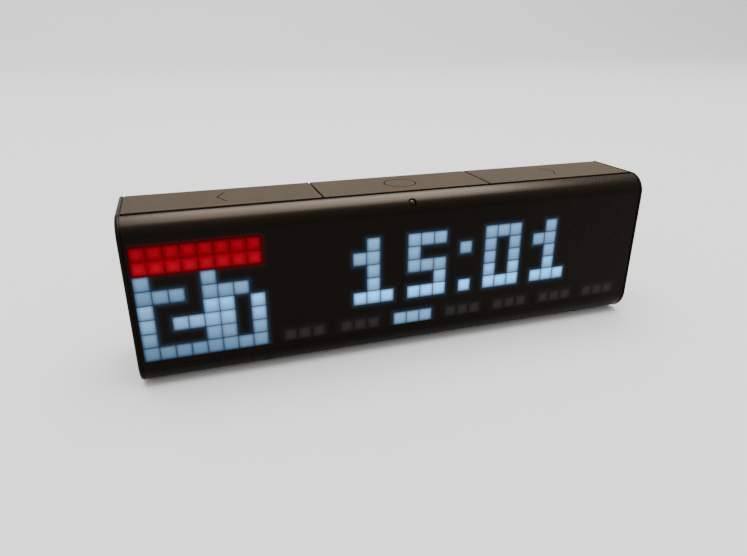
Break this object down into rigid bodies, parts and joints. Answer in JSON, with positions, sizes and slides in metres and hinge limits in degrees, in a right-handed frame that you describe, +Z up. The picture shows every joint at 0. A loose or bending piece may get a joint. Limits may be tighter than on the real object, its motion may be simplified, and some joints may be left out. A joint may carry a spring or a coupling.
{
  "type": "desk clock",
  "caption": "Long low desk clock with a pixel-matrix face behind smoked plastic, flush press keys along its top and a sloping back with speaker slots.",
  "frame": {"origin": "bottom centre of the whole clock, on the surface it stands on", "axes": "+X to the viewer's right along the length, +Y from the face to the back, +Z up"},
  "size_m": [0.2012, 0.036, 0.0615],
  "materials": {
    "smoked_face": "smoked black, satin gloss",
    "case_black": "fine-textured black",
    "cap_black": "satin black",
    "key_black": "fine-textured warm black",
    "button_black": "satin black",
    "frame_black": "moulded black",
    "grid_white": "moulded white",
    "diffuser": "frosted sheet",
    "circuit_board": "solder-masked laminate",
    "led_package": "white package",
    "chip_black": "moulded epoxy",
    "connector": "ivory nylon",
    "switch": "black switch bodies",
    "shield_steel": "tinned steel",
    "usb_plastic": "black nylon",
    "ribbon": "white flat ribbon",
    "speaker_cone": "doped paper and film",
    "magnet": "plated magnet",
    "gasket_foam": "closed-cell foam",
    "sensor_clear": "clear tinted plastic",
    "screw_steel": "blackened steel",
    "foot_rubber": "matt rubber",
    "label_film": "blank silver film"
  },
  "bodies": {
    "case": {"front_shell": "smoked_face", "rear_shell": "case_black", "left_end_cap": "cap_black", "right_end_cap": "cap_black", "key_frame": "frame_black", "light_grid": "grid_white", "diffuser_sheet": "diffuser", "led_board": "circuit_board", "main_board": "circuit_board", "key_board": "circuit_board", "radio_module": "circuit_board", "volume_board": "circuit_board", "power_board": "circuit_board", "sensor_board": "circuit_board", "icon_leds": "led_package", "time_leds": "led_package", "board_chips": "chip_black", "light_sensor": "chip_black", "board_connectors": "connector", "key_switches": "switch", "volume_switches": "switch", "power_switch": "switch", "radio_shield": "shield_steel", "usb_socket": "shield_steel", "left_speaker_frame": "shield_steel", "right_speaker_frame": "shield_steel", "usb_tongue": "usb_plastic", "matrix_ribbon": "ribbon", "key_ribbon": "ribbon", "left_speaker_cone": "speaker_cone", "right_speaker_cone": "speaker_cone", "left_speaker_magnet": "magnet", "right_speaker_magnet": "magnet", "left_speaker_gasket": "gasket_foam", "right_speaker_gasket": "gasket_foam", "sensor_window": "sensor_clear", "case_screws": "screw_steel", "board_screws": "screw_steel", "frame_screws": "screw_steel", "side_board_screws": "screw_steel", "rubber_foot": "foot_rubber", "rating_label": "label_film"},
    "left_key": {"left_key": "key_black"},
    "action_key": {"action_key": "key_black"},
    "right_key": {"right_key": "key_black"},
    "volume_up_button": {"volume_up_button": "button_black"},
    "volume_down_button": {"volume_down_button": "button_black"},
    "power_button": {"power_button": "button_black"}
  },
  "joints": [
    {"name": "left_key_press", "type": "slide", "parent": "case", "child": "left_key", "axis": [0, 0, -1], "range_m": [0, 0.0006], "stiffness_N_per_m": 1800, "springref_m": -0.0002},
    {"name": "action_key_press", "type": "slide", "parent": "case", "child": "action_key", "axis": [0, 0, -1], "range_m": [0, 0.0006], "stiffness_N_per_m": 1800, "springref_m": -0.0002},
    {"name": "right_key_press", "type": "slide", "parent": "case", "child": "right_key", "axis": [0, 0, -1], "range_m": [0, 0.0006], "stiffness_N_per_m": 1800, "springref_m": -0.0002},
    {"name": "volume_up_press", "type": "slide", "parent": "case", "child": "volume_up_button", "axis": [1, 0, 0], "range_m": [0, 0.0006], "stiffness_N_per_m": 2500, "springref_m": -0.0002},
    {"name": "volume_down_press", "type": "slide", "parent": "case", "child": "volume_down_button", "axis": [1, 0, 0], "range_m": [0, 0.0006], "stiffness_N_per_m": 2500, "springref_m": -0.0002},
    {"name": "power_press", "type": "slide", "parent": "case", "child": "power_button", "axis": [-1, 0, 0], "range_m": [0, 0.0006], "stiffness_N_per_m": 2500, "springref_m": -0.0002}
  ]
}
